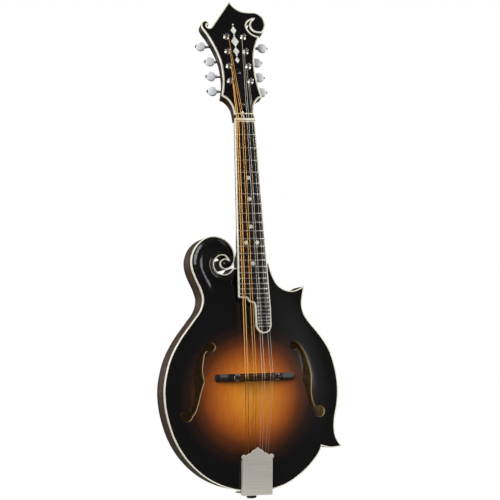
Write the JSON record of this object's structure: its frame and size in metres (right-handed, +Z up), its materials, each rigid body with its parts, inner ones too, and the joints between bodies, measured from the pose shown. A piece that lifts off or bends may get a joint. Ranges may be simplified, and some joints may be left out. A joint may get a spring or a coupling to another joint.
{
  "type": "mandolin",
  "caption": "Carved-top mandolin with a body scroll, two body points, sound holes, paired strings over a movable bridge and geared tuners.",
  "frame": {"origin": "on the centreline at the nut end of the fingerboard, in the plane of the body top's outer edge, where a neck hanger holds the instrument", "axes": "+Z up the neck to the headstock, +X to the treble side, +Y to the back; the strings face -Y"},
  "size_m": [0.2494, 0.106, 0.7017],
  "materials": {
    "sunburst_top": "carved spruce in gloss lacquer, amber centre shading through brown to black at the edges",
    "dark_lacquered_maple": "figured maple in gloss lacquer, very dark brown with a faint lighter burst",
    "black_lacquer": "black gloss lacquer over a wood veneer",
    "bare_spruce": "bare planed spruce, matt",
    "ebony": "oiled ebony, fine dark grain, satin",
    "cream_binding": "aged cream celluloid between thin black lines",
    "bone": "polished bone",
    "black_plastic": "black gloss plastic",
    "thumbwheel_metal": "nickel-plated brass, knurled edge",
    "satin_nickel": "satin nickel plate over stamped brass",
    "tuner_nickel": "bright nickel plate",
    "steel": "turned steel",
    "pearl": "pearl celluloid, cloudy grey-white",
    "wound_string": "steel core wound with phosphor bronze",
    "plain_string": "drawn plain steel"
  },
  "bodies": {
    "root": {"back_lining": "bare_spruce", "back_plate": "dark_lacquered_maple", "bridge_base": "ebony", "end_pin": "black_plastic", "fingerboard": "ebony", "fingerboard_binding": "cream_binding", "head_block": "bare_spruce", "headstock_binding": "cream_binding", "headstock_overlay": "black_lacquer", "neck": "dark_lacquered_maple", "nut": "bone", "rim": "dark_lacquered_maple", "string_1": "wound_string", "string_2": "wound_string", "string_3": "wound_string", "string_4": "wound_string", "string_5": "plain_string", "string_6": "plain_string", "string_7": "plain_string", "string_8": "plain_string", "tail_block": "bare_spruce", "tailpiece_base": "satin_nickel", "tone_bar_bass": "bare_spruce", "tone_bar_treble": "bare_spruce", "top_binding": "cream_binding", "top_lining": "bare_spruce", "top_plate": "sunburst_top", "truss_rod_cover": "black_plastic", "tuner_plate_bass": "tuner_nickel", "tuner_plate_treble": "tuner_nickel"},
    "tuner_1_shaft": {"tuner_shaft_1": "steel", "tuner_button_1": "pearl"},
    "tuner_1_post": {"tuner_post_1": "tuner_nickel"},
    "tuner_2_shaft": {"tuner_shaft_2": "steel", "tuner_button_2": "pearl"},
    "tuner_2_post": {"tuner_post_2": "tuner_nickel"},
    "tuner_3_shaft": {"tuner_shaft_3": "steel", "tuner_button_3": "pearl"},
    "tuner_3_post": {"tuner_post_3": "tuner_nickel"},
    "tuner_4_shaft": {"tuner_shaft_4": "steel", "tuner_button_4": "pearl"},
    "tuner_4_post": {"tuner_post_4": "tuner_nickel"},
    "tuner_5_shaft": {"tuner_shaft_5": "steel", "tuner_button_5": "pearl"},
    "tuner_5_post": {"tuner_post_5": "tuner_nickel"},
    "tuner_6_shaft": {"tuner_shaft_6": "steel", "tuner_button_6": "pearl"},
    "tuner_6_post": {"tuner_post_6": "tuner_nickel"},
    "tuner_7_shaft": {"tuner_shaft_7": "steel", "tuner_button_7": "pearl"},
    "tuner_7_post": {"tuner_post_7": "tuner_nickel"},
    "tuner_8_shaft": {"tuner_shaft_8": "steel", "tuner_button_8": "pearl"},
    "tuner_8_post": {"tuner_post_8": "tuner_nickel"},
    "bridge_saddle": {"bridge_saddle": "ebony"},
    "thumbwheel_bass": {"bridge_thumbwheel_bass": "thumbwheel_metal"},
    "thumbwheel_treble": {"bridge_thumbwheel_treble": "thumbwheel_metal"},
    "tailpiece_cover": {"tailpiece_cover": "satin_nickel"},
    "truss_rod": {"truss_rod": "steel"}
  },
  "joints": [
    {"name": "tuner_1_knob_turn", "type": "hinge", "parent": "root", "child": "tuner_1_shaft", "pos_m": [-0.01259, 0.05416, 0.11436], "axis": [-0.9994, 0.0104, 0.032], "continuous": true},
    {"name": "tuner_1_post_turn", "type": "hinge", "parent": "root", "child": "tuner_1_post", "pos_m": [-0.0124, 0.05595, 0.11987], "axis": [0, 0.9511, -0.309], "continuous": true},
    {"name": "tuner_2_knob_turn", "type": "hinge", "parent": "root", "child": "tuner_2_shaft", "pos_m": [-0.01339, 0.04681, 0.09176], "axis": [-0.9994, 0.0104, 0.032], "continuous": true},
    {"name": "tuner_2_post_turn", "type": "hinge", "parent": "root", "child": "tuner_2_post", "pos_m": [-0.0132, 0.04861, 0.09727], "axis": [0, 0.9511, -0.309], "continuous": true},
    {"name": "tuner_3_knob_turn", "type": "hinge", "parent": "root", "child": "tuner_3_shaft", "pos_m": [-0.01419, 0.03947, 0.06915], "axis": [-0.9994, 0.0104, 0.032], "continuous": true},
    {"name": "tuner_3_post_turn", "type": "hinge", "parent": "root", "child": "tuner_3_post", "pos_m": [-0.014, 0.04126, 0.07467], "axis": [0, 0.9511, -0.309], "continuous": true},
    {"name": "tuner_4_knob_turn", "type": "hinge", "parent": "root", "child": "tuner_4_shaft", "pos_m": [-0.01499, 0.03213, 0.04655], "axis": [-0.9994, 0.0104, 0.032], "continuous": true},
    {"name": "tuner_4_post_turn", "type": "hinge", "parent": "root", "child": "tuner_4_post", "pos_m": [-0.0148, 0.03392, 0.05206], "axis": [0, 0.9511, -0.309], "continuous": true},
    {"name": "tuner_5_knob_turn", "type": "hinge", "parent": "root", "child": "tuner_5_shaft", "pos_m": [0.01499, 0.03213, 0.04655], "axis": [0.9994, 0.0104, 0.032], "continuous": true},
    {"name": "tuner_5_post_turn", "type": "hinge", "parent": "root", "child": "tuner_5_post", "pos_m": [0.0148, 0.03392, 0.05206], "axis": [0, 0.9511, -0.309], "continuous": true},
    {"name": "tuner_6_knob_turn", "type": "hinge", "parent": "root", "child": "tuner_6_shaft", "pos_m": [0.01419, 0.03947, 0.06915], "axis": [0.9994, 0.0104, 0.032], "continuous": true},
    {"name": "tuner_6_post_turn", "type": "hinge", "parent": "root", "child": "tuner_6_post", "pos_m": [0.014, 0.04126, 0.07467], "axis": [0, 0.9511, -0.309], "continuous": true},
    {"name": "tuner_7_knob_turn", "type": "hinge", "parent": "root", "child": "tuner_7_shaft", "pos_m": [0.01339, 0.04681, 0.09176], "axis": [0.9994, 0.0104, 0.032], "continuous": true},
    {"name": "tuner_7_post_turn", "type": "hinge", "parent": "root", "child": "tuner_7_post", "pos_m": [0.0132, 0.04861, 0.09727], "axis": [0, 0.9511, -0.309], "continuous": true},
    {"name": "tuner_8_knob_turn", "type": "hinge", "parent": "root", "child": "tuner_8_shaft", "pos_m": [0.01259, 0.05416, 0.11436], "axis": [0.9994, 0.0104, 0.032], "continuous": true},
    {"name": "tuner_8_post_turn", "type": "hinge", "parent": "root", "child": "tuner_8_post", "pos_m": [0.0124, 0.05595, 0.11987], "axis": [0, 0.9511, -0.309], "continuous": true},
    {"name": "saddle_drop", "type": "slide", "parent": "root", "child": "bridge_saddle", "axis": [0, 1, 0], "range_m": [0, 0.0015]},
    {"name": "thumbwheel_bass_turn", "type": "hinge", "parent": "bridge_saddle", "child": "thumbwheel_bass", "pos_m": [-0.028, -0.0251, -0.3535], "axis": [0, 1, 0], "range_deg": [0, 771.43]},
    {"name": "thumbwheel_treble_turn", "type": "hinge", "parent": "bridge_saddle", "child": "thumbwheel_treble", "pos_m": [0.028, -0.0251, -0.3535], "axis": [0, 1, 0], "range_deg": [0, 771.43]},
    {"name": "tailpiece_cover_slide", "type": "slide", "parent": "root", "child": "tailpiece_cover", "axis": [0, 0.1219, -0.9925], "range_m": [0, 0.05]},
    {"name": "truss_rod_turn", "type": "hinge", "parent": "root", "child": "truss_rod", "pos_m": [0, 0.00503, -0.00073], "axis": [0, 0.0769, 0.997], "range_deg": [-180, 180]}
  ],
  "couplings": [
    {"joint": "tuner_1_post_turn", "follows": "tuner_1_knob_turn", "ratio": 0.071429},
    {"joint": "tuner_2_post_turn", "follows": "tuner_2_knob_turn", "ratio": 0.071429},
    {"joint": "tuner_3_post_turn", "follows": "tuner_3_knob_turn", "ratio": 0.071429},
    {"joint": "tuner_4_post_turn", "follows": "tuner_4_knob_turn", "ratio": 0.071429},
    {"joint": "tuner_5_post_turn", "follows": "tuner_5_knob_turn", "ratio": 0.071429},
    {"joint": "tuner_6_post_turn", "follows": "tuner_6_knob_turn", "ratio": 0.071429},
    {"joint": "tuner_7_post_turn", "follows": "tuner_7_knob_turn", "ratio": 0.071429},
    {"joint": "tuner_8_post_turn", "follows": "tuner_8_knob_turn", "ratio": 0.071429},
    {"joint": "thumbwheel_bass_turn", "follows": "saddle_drop", "rad_per_m": 8976},
    {"joint": "thumbwheel_treble_turn", "follows": "saddle_drop", "rad_per_m": 8976}
  ]
}
